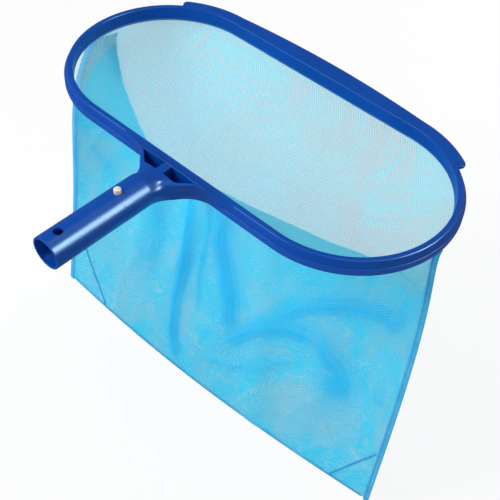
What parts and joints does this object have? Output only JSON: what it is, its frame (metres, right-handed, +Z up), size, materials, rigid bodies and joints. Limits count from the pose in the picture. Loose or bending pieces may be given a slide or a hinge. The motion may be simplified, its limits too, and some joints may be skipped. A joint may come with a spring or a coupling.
{
  "type": "leaf skimmer net",
  "caption": "Pool leaf skimmer net: long rounded plastic hoop with a scoop lip, a pole handle with spring-button clip, and a deep fabric mesh bag held by a snap ring.",
  "frame": {"origin": "centre of the handle's open end, on the handle's axis", "axes": "+Y along the handle's axis into the hoop, +Z up out of the level mouth, +X along the hoop's length to the right as seen from the handle"},
  "size_m": [0.4554, 0.3438, 0.3958],
  "materials": {
    "frame_plastic": "satin moulded polypropylene",
    "ring_plastic": "satin moulded polypropylene",
    "mesh": "fine knitted polyester mesh",
    "binding": "woven binding tape",
    "cord": "braided cord",
    "clip_plastic": "satin acetal"
  },
  "bodies": {
    "frame": {"rim": "frame_plastic", "scoop_lip": "frame_plastic", "yoke": "frame_plastic", "handle_tube": "frame_plastic", "clamp_ring": "ring_plastic", "hem_cord": "cord", "hem_band": "binding", "near_panel": "mesh", "far_panel": "mesh", "left_binding": "binding", "right_binding": "binding", "bottom_binding": "binding", "left_corner_seam": "binding", "right_corner_seam": "binding", "clip_bow": "clip_plastic"},
    "upper_clip": {"upper_leg": "clip_plastic", "upper_button": "clip_plastic"},
    "lower_clip": {"lower_leg": "clip_plastic", "lower_button": "clip_plastic"}
  },
  "joints": [
    {"name": "upper_clip_press", "type": "hinge", "parent": "frame", "child": "upper_clip", "pos_m": [0, 0.1, 0.0104], "axis": [1, 0, 0], "range_deg": [0, 9.8], "stiffness_Nm_per_rad": 1.3, "springref_deg": -1.72},
    {"name": "lower_clip_press", "type": "hinge", "parent": "frame", "child": "lower_clip", "pos_m": [0, 0.1, -0.0104], "axis": [-1, 0, 0], "range_deg": [0, 9.8], "stiffness_Nm_per_rad": 1.3, "springref_deg": -1.72}
  ]
}
